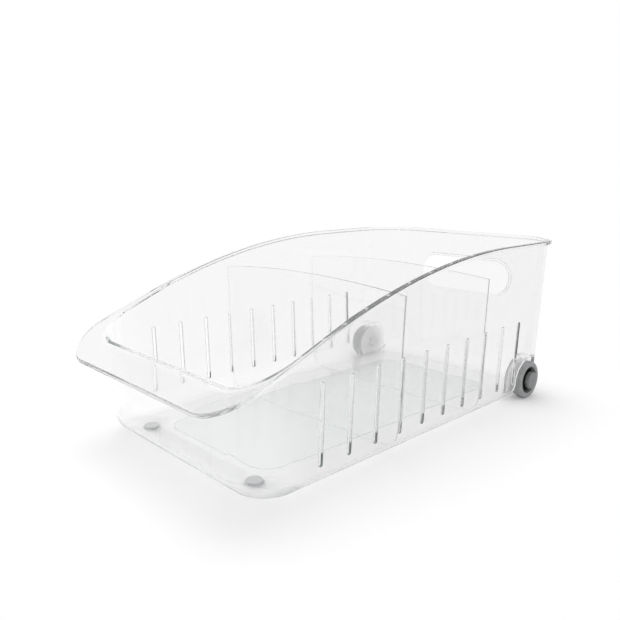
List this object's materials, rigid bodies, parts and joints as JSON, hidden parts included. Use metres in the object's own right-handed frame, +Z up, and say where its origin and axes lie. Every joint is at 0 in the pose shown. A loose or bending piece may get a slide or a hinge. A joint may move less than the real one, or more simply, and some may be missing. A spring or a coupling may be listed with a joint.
{
  "type": "fridge organizer",
  "caption": "Clear plastic fridge bin with a scooped front lip, a rear hand hole, slotted side walls, lift-out dividers, rear wheels and front feet.",
  "frame": {"origin": "under the middle of the bin, on the shelf that its feet and wheels stand on", "axes": "+Z up; -Y towards the front, where the scooped lip is; +Y towards the rear, where the hand hole and the wheels are; +X to the right when the bin is seen from its front lip facing +Y"},
  "size_m": [0.206, 0.368, 0.136],
  "materials": {
    "clear_body": "clear, polished",
    "clear_divider": "clear, polished",
    "grey_rubber": "matte, mid grey",
    "dark_plastic": "matte, nearly black",
    "grey_plastic": "satin, mid grey"
  },
  "bodies": {
    "bin": {"bin_body": "clear_body", "right_axle_pin": "grey_plastic", "left_axle_pin": "grey_plastic", "right_front_foot": "grey_rubber", "left_front_foot": "grey_rubber"},
    "right_wheel": {"right_tyre": "grey_rubber", "right_wheel_hub": "dark_plastic"},
    "left_wheel": {"left_tyre": "grey_rubber", "left_wheel_hub": "dark_plastic"},
    "front_panel": {"front_divider": "clear_divider"},
    "rear_panel": {"rear_divider": "clear_divider"}
  },
  "joints": [
    {"name": "right_wheel_spin", "type": "hinge", "parent": "bin", "child": "right_wheel", "pos_m": [0.0916, 0.1405, 0.0161], "axis": [1, 0, 0], "continuous": true},
    {"name": "left_wheel_spin", "type": "hinge", "parent": "bin", "child": "left_wheel", "pos_m": [-0.0916, 0.1405, 0.0161], "axis": [1, 0, 0], "continuous": true},
    {"name": "front_divider_lift", "type": "slide", "parent": "bin", "child": "front_panel", "axis": [0, 0, 1], "range_m": [0, 0.001]},
    {"name": "rear_divider_lift", "type": "slide", "parent": "bin", "child": "rear_panel", "axis": [0, 0, 1], "range_m": [0, 0.001]}
  ]
}
